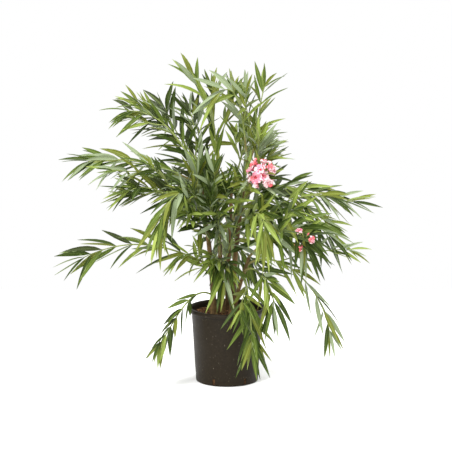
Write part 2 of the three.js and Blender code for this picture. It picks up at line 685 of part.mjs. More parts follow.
masses.forEach(({ shoot, key, path: mainPath, owner, twigs }) => {
  for (let number = 0; number < shoot.forks; number += 1) {
    const path = forkPath(mainPath, shoot, key, number);
    const radius = (length) => lerp(FORK_RADIUS, TWIG_TIP_RADIUS, length / path.length);
    const whorls = whorlsOf(path, shoot, key + number + 1, FIRST_LEAF, shoot.leaf * FORK_LEAF_SHARE);
    const twig = { path, from: 0, radius, whorls };
    if (isClearOfOthers(owner, sprigSolid(bareTwig(twig), LEAF_CLEARANCE))) {
      stand(owner, sprigSolid(bareTwig(twig)));
      twigs.push(twig);
    }
  }
});

masses.forEach(({ owner, twigs, blooms, socket }) => {
  twigs.forEach((twig) => twig.whorls.forEach((whorl) => {
    whorl.leaves = whorl.leaves.filter((leaf) => hasRoom(owner, twig, whorl, leaf));
  }));
  const sprigs = twigs.map((twig) => sprigSolid(twig));
  const joined = [...sprigs, ...blooms].reduce((whole, piece) => whole.add(piece));
  addMesh(owner, largestBody(socket ? joined.subtract(socket) : joined), 'foliage');
});

export default oleander;
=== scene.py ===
import math

import bmesh
import bpy
import numpy as np
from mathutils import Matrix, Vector, noise


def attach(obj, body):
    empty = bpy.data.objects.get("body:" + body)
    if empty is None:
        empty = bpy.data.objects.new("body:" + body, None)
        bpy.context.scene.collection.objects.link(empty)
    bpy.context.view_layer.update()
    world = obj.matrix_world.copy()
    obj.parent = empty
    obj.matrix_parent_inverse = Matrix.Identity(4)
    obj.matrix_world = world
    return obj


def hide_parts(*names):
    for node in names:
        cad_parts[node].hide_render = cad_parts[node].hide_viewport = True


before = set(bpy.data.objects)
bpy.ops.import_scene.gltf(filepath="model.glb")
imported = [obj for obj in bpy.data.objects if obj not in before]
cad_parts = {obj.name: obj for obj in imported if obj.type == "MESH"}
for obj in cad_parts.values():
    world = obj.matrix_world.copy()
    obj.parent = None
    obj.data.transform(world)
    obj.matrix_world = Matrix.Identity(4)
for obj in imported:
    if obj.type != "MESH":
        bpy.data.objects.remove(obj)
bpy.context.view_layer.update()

MM = 0.001
BODY = "root"
FULL_TURN = 2 * math.pi

# Pot and compost, the same sizes as the solids
POT_HEIGHT = 230
RIM_RADIUS = 120
NECK_RADIUS = 110
BASE_RADIUS = 95.5
LIP_HEIGHT = 12
POT_WALL = 2
POT_FLOOR = 2.5
DRAIN_SLOTS = 6
FIRST_SLOT_TURN = 35
SLOT_WIDTH = 9
SLOT_BOTTOM = 4
SLOT_TOP = 22
SOIL_LEVEL = 212
SEAT = 0.3

# Woody stems, which rise from the compost
FLARE_FADE = 13
KNEE_HEIGHT = 0.35
NECK_DROP = 0.33
NECK_LEAN = 0.35
STEM_TOP_RADIUS = 4.6
STEMS = {
    "left": {"foot": (-41, -20), "top": (-78, -24, 632), "thick": 9.5, "flare": 5},
    "middle": {"foot": (-16, -2), "top": (-30, 12, 590), "thick": 8.5, "flare": 4},
    "right": {"foot": (17, 4), "top": (60, -4, 690), "thick": 9, "flare": 4.5},
    "front": {"foot": (24, -30), "top": (66, -76, 400), "thick": 7, "flare": 4},
    "back": {"foot": (2, 34), "top": (14, 96, 590), "thick": 8, "flare": 4},
}


def shoot(name, stem, at, tip, angles, **own):
    """One line of the table of shoots, on top of the habit that they share."""
    habit = {
        "bare": 0.25, "leaf": 138, "broad": 1, "spread": 38, "hang": 0, "gap": 36, "seed": 0,
        "forks": 2, "blooms": 0, "finer": 1, "shade": "contrasted",
    }
    return {"name": name, "stem": stem, "at": at, "tip": tip, "angles": angles, **habit, **own}


# Each shoot: its name, its stem, the share of the stem's height where it leaves, its tip as an
# azimuth and a reach round the pot's axis and a height, the angles above the level at which it
# leaves and finishes, and then its own habit. "finer" counts the side twigs that only the scene
# has, and "shade" says which kinds of leaf the shoot bears. That mix is chosen by where the shoot
# stands, so it also paints light, shade and sheen into the colours of the leaves.
SHOOTS = [
    shoot("top_left", "middle", 1, (168, 104, 930), (90, 57), leaf=123, spread=23, gap=55, seed=8,
        forks=0, finer=2, shade="fresh"),
    shoot("top_middle", "right", 1, (246, 58, 895), (85, -35), leaf=131, spread=41, hang=0.11, gap=56,
        seed=13, forks=0, shade="paler_painted_sheen"),
    shoot("top_right", "right", 0.93, (14, 118, 909), (58, 71), leaf=106, spread=46, gap=49, forks=0,
        shade="fresh"),
    shoot("crown_right", "right", 0.9, (315, 136, 749), (32, 67), bare=0.15, leaf=111, spread=36,
        finer=2, shade="palest_painted_sheen"),
    shoot("blossom", "right", 0.8, (309, 165, 668), (35, 58), leaf=110, spread=40, hang=0.12, gap=42,
        seed=8, forks=0, blooms=14, finer=2, shade="paler_painted_sheen"),
    shoot("upper_left", "left", 1, (174, 304, 832), (60, -2), bare=0.2, leaf=104, spread=32, hang=0.3,
        gap=46, seed=11, forks=3, finer=2, shade="common"),
    shoot("upper_inner", "middle", 0.93, (170, 190, 840), (73, 71), bare=0.2, leaf=131, spread=46,
        hang=0.09, gap=37, seed=20, forks=1, shade="shaded"),
    shoot("left_upper", "left", 0.95, (193, 427, 696), (29, -5), bare=0.2, leaf=118, spread=29,
        hang=0.2, gap=50, seed=22, forks=1, shade="much_painted_sheen"),
    shoot("left_middle", "left", 0.88, (205, 324, 613), (-26, -21), bare=0.2, leaf=109, spread=39,
        seed=13, shade="common"),
    shoot("left_hanging", "left", 0.8, (231, 316, 523), (63, -75), leaf=114, spread=21, hang=0.46,
        seed=17, forks=0, finer=0, shade="fresh"),
    shoot("left_low", "left", 0.35, (195, 446, 407), (28, -23), bare=0.12, leaf=128, spread=37, gap=56,
        seed=23, forks=0, finer=0, shade="green"),
    shoot("left_skirt", "left", 0.13, (211, 242, 135), (35, -49), bare=0, leaf=73, broad=1.5, spread=41,
        hang=0.24, gap=37, seed=5, forks=0, finer=0, shade="common"),
    shoot("foot_spray", "left", 0.27, (207, 165, 403), (39, -21), bare=0, leaf=88, broad=1.1, spread=31,
        hang=0.44, seed=17, forks=1, finer=0, shade="bright"),
    shoot("centre_fall", "middle", 0.4, (266, 110, 330), (45, -82), bare=0, leaf=120, spread=28,
        hang=0.4, gap=46, seed=28, finer=3),
    shoot("right_upper", "right", 0.7, (5, 388, 552), (63, -4), leaf=108, spread=24, gap=49, seed=29,
        forks=1),
    shoot("right_middle", "right", 0.62, (343, 326, 468), (73, -35), bare=0.2, leaf=123, spread=46,
        hang=0.37, gap=44, seed=6, forks=1, finer=0),
    shoot("right_hanging", "right", 0.55, (291, 304, 503), (27, -101), leaf=108, spread=27, hang=0.4,
        gap=44, seed=24, forks=0, finer=0, shade="bright"),
    shoot("right_inner", "front", 1, (315, 321, 478), (45, -83), bare=0.2, hang=0.37, gap=42, seed=21,
        blooms=4),
    shoot("right_low", "front", 0.86, (335, 340, 185), (36, -82), bare=0.1, leaf=102, spread=36,
        hang=0.23, gap=62, seed=25, forks=0, shade="paler_painted_sheen"),
    shoot("right_skirt", "front", 0.72, (305, 241, 272), (49, -97), bare=0.2, leaf=112, spread=39,
        hang=0.1, gap=43, seed=26, forks=1, finer=0),
    shoot("pot_front", "front", 0.58, (289, 227, 150), (61, -95), bare=0.2, leaf=111, spread=41,
        hang=0.15, gap=54, seed=25, forks=1, shade="green"),
    shoot("front", "middle", 0.45, (252, 125, 668), (68, 80), bare=0.15, leaf=116, spread=36, hang=0.12,
        gap=46, seed=13, finer=3),
    shoot("inner_left", "left", 0.56, (226, 128, 655), (49, 83), bare=0, hang=0.27, gap=41, seed=23,
        finer=3),
    shoot("inner_middle", "middle", 0.34, (298, 112, 655), (60, 80), bare=0, leaf=123, hang=0.3,
        seed=25, forks=3, finer=3),
    shoot("back_left", "back", 0.78, (125, 291, 591), (58, 5), spread=45, hang=0.12, finer=2,
        shade="shaded"),
    shoot("back_middle", "back", 0.62, (106, 422, 528), (61, -13), spread=46, gap=43, finer=2,
        shade="shaded"),
    shoot("back_right", "back", 0.7, (50, 332, 563), (35, -8), spread=32, hang=0.2, gap=75, seed=2,
        finer=2, shade="shaded"),
    shoot("back_low", "back", 0.4, (85, 357, 288), (51, -56), spread=46, hang=0.38, gap=40, seed=8,
        shade="shaded"),
    shoot("back_upper", "back", 1, (60, 137, 754), (65, 68), hang=0.34, gap=45, seed=29, finer=2,
        shade="paler_painted_sheen"),
]

# Limbs and side twigs
BOUGH_RADIUS = 4.2
TWIG_RADIUS = 3
TWIG_TIP_RADIUS = 1.3
CURVE_PULL = 0.4
FORK_FIRST = 0.3
FORK_GAP = 0.2
FORK_LENGTH = 0.8
FORK_CURVE = ((0.28, 0.24), (0.6, 0.42), (0.88, 0.5))
FORK_RADIUS = 2.1
FORK_LEAF_SHARE = 0.88
FORK_DRAW = 7
FIRST_LEAF = 14
# Finer side twigs stand between the solid ones.
FINER_FIRST = -0.5
FINER_LEAF_SHARE = 0.8

# Leaves: lance-shaped blades in whorls of three
WHORL = 3
HALF_GAP = math.pi / WHORL
LEAF_WIDTH_SHARE = 0.13
TIP_GAP = 6
CROWDING_FIRST = 0.15
CROWDING_LAST = 2.2
TIP_ANGLE = 15
OPENING_WHORLS = 1.6
YOUNG_LOSS = 0.2

# Random draws of a leaf: the whole range about its middle, or the least value and the range
TURN_RANGE = 1.1
ANGLE_RANGE = 32
ROLL_RANGE = 1.5
CURL_RANGE = 0.26
SWAY_RANGE = 0.2
TWIST_RANGE = 0.9
LENGTH_DRAW = (0.85, 0.3)
HANG_DRAW = (0.3, 1.1)
SAG_DRAW = (0.05, 0.15)
FOLD_DRAW = (0.12, 0.4)
SAG_BY_HANG = 0.1
OUTWARD_LEAST = 0.3
FACE_ALONG = 0.35
FACE_UP = 0.75
FACE_LIGHT = 0.6

KEYS_PER_SHOOT = 10
SEED_STEP = 37
DRAW_WEIGHTS = (12.9898, 78.233, 37.719, 53.147)
DRAW_SCALE = 43758.5453
GOLDEN_ANGLE = math.pi * (3 - math.sqrt(5))
UP = np.array((0.0, 0.0, 1.0))
LEANING_UP = np.array((0.3, 0.1, 1.0))
LIGHT_SIDE = np.array((0.0, -1.0, 0.0))


def dice(*keys):
    """A number from 0 to 1 that depends only on its keys, as in the source."""
    wave = math.sin(sum(key * weight for key, weight in zip(keys, DRAW_WEIGHTS))) * DRAW_SCALE
    return wave - math.floor(wave)


def drawn(least_and_range, *keys):
    """A draw that starts at a least value and covers a range."""
    least, whole = least_and_range
    return least + whole * dice(*keys)


def swing(whole, *keys):
    """A draw that covers a range evenly about nothing."""
    return (dice(*keys) - 0.5) * whole


def unit(vector):
    return vector / np.linalg.norm(vector)


def mix(a, b, share):
    return a + (b - a) * share


def between(first, second, angle):
    """The direction at an angle from the first of two square directions towards the second."""
    return first * math.cos(angle) + second * math.sin(angle)


def square_to(axis):
    """A direction square to an axis that isn't upright."""
    return unit(np.cross(axis, LEANING_UP))


def polar(radius, turn, height):
    return radius * math.cos(turn), radius * math.sin(turn), height


# Paths of the limbs

PATH_STEPS = 200


class Path:
    """A cubic curve in one plane, read by the length along it."""

    def __init__(self, points, across):
        self.points = [np.array(point, float) for point in points]
        self.across = across
        self.shares = np.linspace(0, 1, PATH_STEPS + 1)
        spots = np.array([self.spot(share) for share in self.shares])
        steps = np.linalg.norm(np.diff(spots, axis=0), axis=1)
        self.lengths = np.concatenate([[0], np.cumsum(steps)])
        self.length = self.lengths[-1]

    def spot(self, share):
        a, b, c, d = self.points
        rest = 1 - share
        return rest**3 * a + 3 * rest**2 * share * b + 3 * rest * share**2 * c + share**3 * d

    def heading(self, share):
        a, b, c, d = self.points
        rest = 1 - share
        return unit(rest**2 * (b - a) + 2 * rest * share * (c - b) + share**2 * (d - c))

    def station(self, length):
        """The place at a length, with the directions along the curve and out of its plane's side."""
        share = float(np.interp(length, self.lengths, self.shares))
        along = self.heading(share)
        return self.spot(share), along, unit(np.cross(self.across, along))


def stem_path(stem):
    foot = np.array((*stem["foot"], SOIL_LEVEL + SEAT), float)
    top = np.array(stem["top"], float)
    rise = top[2] - foot[2]
    lean = (top - foot) * (1, 1, 0)
    knee = foot + UP * rise * KNEE_HEIGHT
    neck = top - lean * NECK_LEAN - UP * rise * NECK_DROP
    return Path([foot, knee, neck, top], np.cross(unit(lean), UP))


def shoot_path(row):
    stem = stem_path(STEMS[row["stem"]])
    foot = stem.spot(row["at"])
    azimuth, reach, height = row["tip"]
    tip = np.array(polar(reach, math.radians(azimuth), height))
    outward = unit((tip - foot) * (1, 1, 0))
    pull = CURVE_PULL * np.linalg.norm(tip - foot)
    leaves, arrives = [between(outward, UP, math.radians(angle)) for angle in row["angles"]]
    return Path([foot, foot + leaves * pull, tip - arrives * pull, tip], np.cross(outward, UP))


def fork_path(path, row, key, number):
    """A side twig leaves its shoot and swings back to run beside it."""
    share = row["bare"] + (1 - row["bare"]) * (FORK_FIRST + FORK_GAP * number)
    at, along, other = path.station(path.length * share)
    aside = between(path.across, other, FULL_TURN * dice(key, number, FORK_DRAW))
    length = path.length * (1 - share) * FORK_LENGTH
    bends = [at + (along * onward + aside * out) * length for onward, out in FORK_CURVE]
    return Path([at, *bends], np.cross(along, aside))


def stem_radius(stem, path):
    return lambda length: (
        mix(stem["thick"], STEM_TOP_RADIUS, length / path.length)
        + stem["flare"] * math.exp(-max(length, 0) / FLARE_FADE)
    )


def shoot_radius(path, row):
    bare_length = path.length * row["bare"]
    widest = BOUGH_RADIUS if row["bare"] > 0 else TWIG_RADIUS

    def radius(length):
        if length < bare_length:
            return mix(widest, TWIG_RADIUS, length / bare_length)
        return mix(TWIG_RADIUS, TWIG_TIP_RADIUS, (length - bare_length) / (path.length - bare_length))

    return radius


# Joined meshes


def placed(name, data):
    """A new object in the scene."""
    thing = bpy.data.objects.new(name, data)
    bpy.context.scene.collection.objects.link(thing)
    return thing


def in_one_row(faces):
    """The corners of all faces one after another, and the number of corners of each face."""
    return np.array([corner for face in faces for corner in face]), [len(face) for face in faces]


class Piece:
    """Gathers the points, faces and material numbers of one joined piece."""

    def __init__(self):
        self.points = []
        self.corners = []
        self.sizes = []
        self.looks = []
        self.count = 0

    def add(self, points, faces, look):
        """Faces are lists of corners. "look" is the number of their material."""
        self.add_many(np.array([points], float), *in_one_row(faces), np.full(len(faces), look))

    def add_many(self, points, corners, sizes, looks):
        """Many copies of one topology: points is (copies, corners of one, 3)."""
        copies, each = points.shape[:2]
        starts = self.count + each * np.arange(copies)
        self.points.append(points.reshape(-1, 3))
        self.corners.append((starts[:, None] + corners[None, :]).ravel())
        self.sizes.append(np.tile(sizes, copies))
        self.looks.append(looks.ravel())
        self.count += copies * each

    def make(self, name, materials, sharp=55):
        mesh = bpy.data.meshes.new(name)
        points = np.concatenate(self.points) * MM
        corners = np.concatenate(self.corners)
        sizes = np.concatenate(self.sizes)
        starts = np.concatenate([[0], np.cumsum(sizes)[:-1]])
        mesh.vertices.add(len(points))
        mesh.vertices.foreach_set("co", points.ravel())
        mesh.loops.add(len(corners))
        mesh.loops.foreach_set("vertex_index", corners.astype(np.int32))
        mesh.polygons.add(len(sizes))
        mesh.polygons.foreach_set("loop_start", starts.astype(np.int32))
        mesh.polygons.foreach_set("material_index", np.concatenate(self.looks).astype(np.int32))
        for material in materials:
            mesh.materials.append(material)
        mesh.update(calc_edges=True)
        mesh.validate()
        mesh.shade_smooth()
        mesh.set_sharp_from_angle(angle=math.radians(sharp))
        return placed(name, mesh)


def finished(piece, slot, *nodes):
    """A piece that rides on the plant's body and stands for some of its solids."""
    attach(piece, BODY)
    if nodes:
        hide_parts(*nodes)


def ring_faces(rings, sides, first=0):
    """Faces between rings of points, which follow one another from a first point."""
    faces = []
    for near in range(first, first + (rings - 1) * sides, sides):
        far = near + sides
        for side in range(sides):
            after = (side + 1) % sides
            faces.append((near + side, far + side, far + after, near + after))
    return faces


def capped_rings(rings, sides):
    """Faces of a closed form of rings that turn the other way, with one face at each end."""
    faces = [(near, beside, past, far) for near, far, past, beside in ring_faces(rings, sides)]
    last = (rings - 1) * sides
    return [*faces, tuple(reversed(range(sides))), tuple(range(last, last + sides))]


def tube(path, start, end, radius_at, sides, step, relief=None):
    """Points and faces of a closed limb along a path. "relief" raises its skin by place and turn."""
    rings = max(2, round((end - start) / step))
    points = []
    for ring in range(rings + 1):
        length = mix(start, end, ring / rings)
        at, _, other = path.station(length)
        radius = radius_at(length)
        for side in range(sides):
            turn = FULL_TURN * side / sides
            out = between(path.across, other, turn)
            height = relief(length, turn, at + out * radius) if relief else 0
            points.append(at + out * (radius + height))
    faces = ring_faces(rings + 1, sides)
    points += [path.station(start)[0], path.station(end)[0]]
    last, foot = rings * sides, (rings + 1) * sides
    for side in range(sides):
        after = (side + 1) % sides
        faces += [(foot, side, after), (foot + 1, last + after, last + side)]
    return points, faces


# Leaves

LEAF_SHARES = np.array((0, 0.05, 0.11, 0.22, 0.4, 0.58, 0.76, 0.9, 1))
LEAF_WIDTHS = np.array((0.11, 0.12, 0.4, 0.8, 1, 0.92, 0.64, 0.3, 0.03))
LEAF_COLUMNS = 4
# The rib, its groove and its keel, each with the most that it takes of the blade's half width
RIB = (0.7, 0.45)
GROOVE = (0.25, 0.1)
KEEL = (0.9, 0.5)
LOOKS_PER_KIND = 3
# Over the blade: side, rib, side. Under it: side, rib, side. The rib has one look.
LOOK_OF_COLUMN = np.array((0, 1, 0, 2, 1, 2))


def blade_faces(stations, columns):
    """Corners and sizes of a closed blade's faces, and the column and station of each face.

    Each station is a ring that runs over the blade from left to right and back under it.
    """
    ring = 2 * columns - 2
    faces = ring_faces(stations, ring)
    owners = [(column, station) for station in range(stations - 1) for column in range(ring)]
    for base, order, station in ((0, 1, 0), ((stations - 1) * ring, -1, stations)):
        for column in range(columns - 1):
            corners = (column, column + 1, ring - column - 1, (ring - column) % ring)
            faces.append([base + corner for corner in dict.fromkeys(corners)][::order])
            owners.append((column, station))
    return *in_one_row(faces), *np.array(owners).T


def leaf_at(station, row, key, whorl, place, size):
    """One leaf of a whorl, by the source's rule."""
    at, forward, other, across = station
    keys = (key, whorl + 1, place + 1)
    turn = key + (WHORL - 1) * place * HALF_GAP + (whorl + swing(TURN_RANGE, *keys, 1)) * HALF_GAP
    aside = between(across, other, turn)
    grown = 1 - math.exp(-(whorl + 0.5) / OPENING_WHORLS)
    angle = math.radians(mix(TIP_ANGLE, row["spread"], grown) + swing(ANGLE_RANGE, *keys, 2))
    along = between(forward, aside, angle) - UP * row["hang"] * drawn(HANG_DRAW, *keys, 4)
    along = unit(along + aside * max(0, OUTWARD_LEAST - along @ aside))
    face = forward * FACE_ALONG + UP * FACE_UP + LIGHT_SIDE * FACE_LIGHT
    face = unit(face - along * (face @ along))
    face = between(face, np.cross(along, face), swing(ROLL_RANGE, *keys, 5))
    young = 1 - YOUNG_LOSS * math.exp(-whorl)
    return {
        "root": at,
        "along": along,
        "face": face,
        "length": size * young * drawn(LENGTH_DRAW, *keys, 3),
        "broad": row["broad"],
        "sag": drawn(SAG_DRAW, *keys, 6) + SAG_BY_HANG * row["hang"],
        "fold": drawn(FOLD_DRAW, *keys, 8),
        "curl": swing(CURL_RANGE, *keys, 9),
        "sway": swing(SWAY_RANGE, *keys, 10),
        "twist": swing(TWIST_RANGE, *keys, 11),
        "shade": dice(*keys, 12),
        "whorl": whorl,
    }


def whorls_of(path, row, key, bare_length, size):
    """The whorls of one twig from its tip back: the length where each stands and its leaves."""
    whorls = []
    while True:
        number = len(whorls)
        crowding = (number + CROWDING_FIRST) / (number + CROWDING_LAST)
        length = path.length - TIP_GAP - row["gap"] * number * crowding
        if length < bare_length + 2 * TIP_GAP:
            return whorls
        station = (*path.station(length), path.across)
        leaves = [leaf_at(station, row, key, number, place, size) for place in range(WHORL)]
        whorls.append((length, leaves))


def middle_line(leaf, share):
    """The middle of a blade, or of many at once, at shares of the length."""
    bend = leaf["length"] * share**2
    wide = np.cross(leaf["face"], leaf["along"])
    return (
        leaf["root"] + leaf["along"] * leaf["length"] * share - UP * leaf["sag"] * bend
        + leaf["face"] * leaf["curl"] * bend + wide * leaf["sway"] * bend
    )


def add_leaves(piece, leaves):
    """All the leaves of a piece at once, in arrays of leaf, station and coordinate."""
    many = {
        key: np.array([leaf[key] for leaf in leaves]).reshape(len(leaves), 1, -1) for key in leaves[0]
    }
    share = LEAF_SHARES[None, :, None]
    middle = middle_line(many, share)
    wide = np.cross(many["face"], many["along"])
    twist = many["twist"] * share
    across = wide * np.cos(twist) + many["face"] * np.sin(twist)
    upward = many["face"] * np.cos(twist) - wide * np.sin(twist)
    half = many["length"] * many["broad"] * LEAF_WIDTH_SHARE / 2 * LEAF_WIDTHS[None, :, None]
    rib, groove, keel = [np.minimum(size, half * most) for size, most in (RIB, GROOVE, KEEL)]
    lift = half * many["fold"]
    columns = [(-half, lift), (-rib, -groove), (rib, -groove), (half, lift), (rib, -keel), (-rib, -keel)]
    points = np.stack([middle + across * aside + upward * height for aside, height in columns], axis=2)
    corners, sizes, column_of, _ = blade_faces(len(LEAF_SHARES), LEAF_COLUMNS)
    looks = many["kind"][:, 0] * LOOKS_PER_KIND + LOOK_OF_COLUMN[column_of][None, :]
    piece.add_many(points.reshape(len(leaves), -1, 3), corners, sizes, looks)


# Room for the leaves

LIMB_STEP = 6
LEAF_TRIALS = np.array((0.2, 0.35, 0.5, 0.65, 0.8, 1))[:, None]
LIMB_GAP = 1.5
POT_GAP = 2
GROUND_GAP = 5


class Room:
    """What limbs, blooms, pot and compost take. A leaf that would pass through it is left out."""

    def __init__(self):
        self.balls = []

    def add_limb(self, path, start, end, radius_at):
        for length in np.arange(start, end, LIMB_STEP):
            self.add_ball(path.station(length)[0], radius_at(length))

    def add_ball(self, middle, radius):
        self.balls.append((*middle, radius))

    def is_free(self, leaf):
        line = middle_line(leaf, LEAF_TRIALS)
        if line[:, 2].min() < GROUND_GAP:
            return False
        balls = np.array(self.balls)
        apart = np.linalg.norm(line[:, None] - balls[:, :3], axis=2)
        if (apart < balls[:, 3] + LIMB_GAP).any():
            return False
        reach = np.hypot(line[:, 0], line[:, 1])
        height = line[:, 2]
        wall = mix(BASE_RADIUS, NECK_RADIUS, height / POT_HEIGHT)
        wall = np.where(height > POT_HEIGHT - LIP_HEIGHT, RIM_RADIUS, wall)
        over_soil = (height > SOIL_LEVEL + POT_GAP) & (reach < NECK_RADIUS - POT_WALL - POT_GAP)
        return not ((height < POT_HEIGHT + POT_GAP) & (reach < wall + POT_GAP) & ~over_soil).any()


# Blossom

BLOOM_STALK = 27
BLOOM_SIZE = 21.5
BLOOM_ROOM = 12
BLOOM_TILT = 0.95
STALK_DRAW = (0.6, 0.65)
STALK_RADIUS = 1.0
STALK_SIDES = 6
STALK_RING_STEP = 4
HEAD_FACING = np.array((0.1, -0.9, 0.0))
HEAD_SPREAD = 1.3
PETALS = 5
PETAL_SHARES = np.array((0, 0.16, 0.34, 0.52, 0.7, 0.86, 0.96, 1))
PETAL_WIDTHS = np.array((0.16, 0.2, 0.42, 0.74, 0.98, 0.95, 0.66, 0.3))
PETAL_COLUMNS = 7
PETAL_THICKNESS = 0.35
PETAL_TURN_RANGE = 0.3
PETAL_ROLL = 1.2
PETAL_CUP = 0.22
PETAL_HOLLOW = 0.05
THROAT_RADIUS = 1
# Each a least value and a range, as shares of the bloom's size
HALF_WIDTH_DRAW = (0.34, 0.08)
SKEW_DRAW = (0.11, 0.05)
RUFFLE_HEIGHT = 0.24
RUFFLE_WAVES = 7
RUFFLE_SHIFT = 4
CUP_ANGLE = 22
OPENING_RANGE = 64
PETAL_OPENING_RANGE = 26
# The outer and the inner row: opening angle, share of the size, first number, throat stations
PETAL_ROWS = ((68, 1, 0, 2), (42, 0.7, PETALS, 3))
# A head with fewer blooms than this is a small one, with smaller blooms that are half closed.
SMALL_HEAD = 6
SMALL_BLOOM_SIZE = 16
SMALL_BLOOM_CLOSING = 38
THROAT, ROSE, PALE, CORAL = range(4)
# The tones of the petals, with the share of draws up to which each one is given
PETAL_TONES = ((CORAL, 0.24), (ROSE, 0.66), (PALE, 1))
OWN_TONE_SHARE = 0.6
# Some petals are pale from EDGE_STATION out to the rim: a painted highlight on the ruffled edges.
EDGE_HIGHLIGHT_SHARE = 0.6
EDGE_STATION = 5
BUD_SHARES = (0, 0.12, 0.35, 0.62, 0.85, 1)
BUD_WIDTHS = (0.35, 0.6, 0.8, 1, 0.6, 0.08)
BUD_SIDES = 7
BUD_TWIST = 0.35
BUD_FOLDS = 2.5
BUD_FOLD_HEIGHT = 0.12
MORE_BUDS = 5
BUD_LENGTH_DRAW = (11, 6)
BUD_RADIUS = 2.2
BUD_STALK_SHARE = 0.5
# Length and radius of the green cups under a bloom and under a bud, and how far in each sits
BLOOM_CUP = (8, 2.4)
BLOOM_INSET = 2
BUD_CUP = (9, 1.8)
BUD_INSET = 6


def petal_points(at, axis, side, size, open_angle, key, number):
    """A petal: up out of the throat, then rolled outward, broad, ruffled and skewed to one side."""
    turn = FULL_TURN * number / PETALS + swing(PETAL_TURN_RANGE, key, number, 3)
    out = between(side, np.cross(axis, side), turn)
    wide = np.cross(axis, out)
    ruffle = FULL_TURN * dice(key, number, 4)
    skew = drawn(SKEW_DRAW, key, number, 5) * size
    half_width = size * drawn(HALF_WIDTH_DRAW, key, number, 6)
    open_angle = drawn((open_angle, PETAL_OPENING_RANGE), key, number, 7)
    angles = np.radians(mix(CUP_ANGLE, open_angle, PETAL_SHARES**PETAL_ROLL))
    steps = np.diff(PETAL_SHARES, prepend=0)
    rise = np.cumsum(steps * np.cos(angles)) * size
    reach = np.cumsum(steps * np.sin(angles)) * size + THROAT_RADIUS
    points = []
    for share, width, up, away, angle in zip(PETAL_SHARES, PETAL_WIDTHS, rise, reach, angles):
        normal = axis * math.sin(angle) - out * math.cos(angle)
        over = []
        for column in range(PETAL_COLUMNS):
            place = 2 * column / (PETAL_COLUMNS - 1) - 1
            cup = (PETAL_CUP * (1 - share) + PETAL_HOLLOW) * size * place**2
            crest = math.sin(ruffle + place * RUFFLE_WAVES + share * RUFFLE_SHIFT)
            wave = RUFFLE_HEIGHT * size * share**2 * crest * math.sqrt(abs(place))
            sideways = place * width * half_width + skew * share**2
            over.append(at + axis * up + out * away + wide * sideways + normal * (cup + wave))
        under = [point - normal * PETAL_THICKNESS for point in over[1:-1]]
        points.extend(over + under[::-1])
    return points


def tone_of(draw):
    return next(number for number, most in PETAL_TONES if draw <= most)


def add_bloom(piece, at, axis, key, size, closing):
    """Five outer petals and a smaller inner row, round a deep throat."""
    side = square_to(axis)
    corners, sizes, _, station_of = blade_faces(len(PETAL_SHARES), PETAL_COLUMNS)
    bloom_tone = tone_of(dice(key, 1, 9))
    opening = swing(OPENING_RANGE, key, 1, 12) - closing
    for open_angle, share, first, throat in PETAL_ROWS:
        for number in range(first, first + PETALS):
            place = number - first + (0.5 if first else 0)
            points = petal_points(at, axis, side, size * share, open_angle + opening, key + first, place)
            keeps_tone = dice(key, number, 13) < OWN_TONE_SHARE
            tone = bloom_tone if keeps_tone else tone_of(dice(key, number, 14))
            looks = np.where(station_of < throat, THROAT, tone)
            # A pale rim on some petals: painted highlight on the ruffled edge.
            if dice(key, number, 15) < EDGE_HIGHLIGHT_SHARE:
                looks = np.where(station_of >= EDGE_STATION, PALE, looks)
            piece.add_many(np.array(points)[None], corners, sizes, looks[None])


def add_bud(piece, at, axis, length, radius, look):
    """A furled bud, or the green cup under a bloom, turned round its axis."""
    side = square_to(axis)
    other = np.cross(axis, side)
    points = []
    for ring, (share, width) in enumerate(zip(BUD_SHARES, BUD_WIDTHS)):
        for number in range(BUD_SIDES):
            turn = FULL_TURN * number / BUD_SIDES + ring * BUD_TWIST
            bulge = radius * width * (1 + BUD_FOLD_HEIGHT * math.cos(turn * BUD_FOLDS))
            points.append(at + axis * length * share + between(side, other, turn) * bulge)
    piece.add(points, capped_rings(len(BUD_SHARES), BUD_SIDES), look)


def head_stalks(path, count, key):
    """Foot, direction and length of each stalk: a spiral over half a ball, as in the source."""
    at, forward, _ = path.station(path.length - TIP_GAP)
    outward = unit(forward + HEAD_FACING)
    side = unit(np.cross(outward, UP))
    other = np.cross(side, outward)
    stalks = []
    for number in range(count):
        tilt = math.acos(1 - HEAD_SPREAD * (number + 0.5) / count)
        direction = between(outward, between(side, other, number * GOLDEN_ANGLE), tilt)
        stalks.append((at, direction, BLOOM_STALK * drawn(STALK_DRAW, key, number + 1, 22)))
    return stalks


def add_head(blossom, stalks, path, count, key):
    """A head of open blooms on their stalks, with furled buds between them."""
    is_small = count < SMALL_HEAD
    size, closing = (SMALL_BLOOM_SIZE, SMALL_BLOOM_CLOSING) if is_small else (BLOOM_SIZE, 0)
    for number, (at, direction, length) in enumerate(head_stalks(path, count, key)):
        end = at + direction * length
        bends = [at, mix(at, end, 0.4) + UP, mix(at, end, 0.7) + UP * 0.5, end]
        stalk = Path(bends, unit(np.cross(direction, UP)))
        limb = tube(stalk, 0, stalk.length, lambda length: STALK_RADIUS, STALK_SIDES, STALK_RING_STEP)
        stalks.add(*limb, 0)
        add_bud(stalks, end - direction * BLOOM_INSET, direction, *BLOOM_CUP, 0)
        tilt = np.array([swing(1, key, number, 30 + axis) for axis in range(3)])
        facing = unit(direction + tilt * BLOOM_TILT)
        add_bloom(blossom, end + direction * BLOOM_INSET, facing, key + number, size, closing)
    for number, (at, direction, length) in enumerate(head_stalks(path, count + MORE_BUDS, key + 1)):
        root = at + direction * length * BUD_STALK_SHARE
        bud_length = drawn(BUD_LENGTH_DRAW, key, number, 21)
        add_bud(blossom, root + direction * BUD_INSET, direction, bud_length, BUD_RADIUS, CORAL)
        add_bud(stalks, root, direction, *BUD_CUP, 0)


# Bark

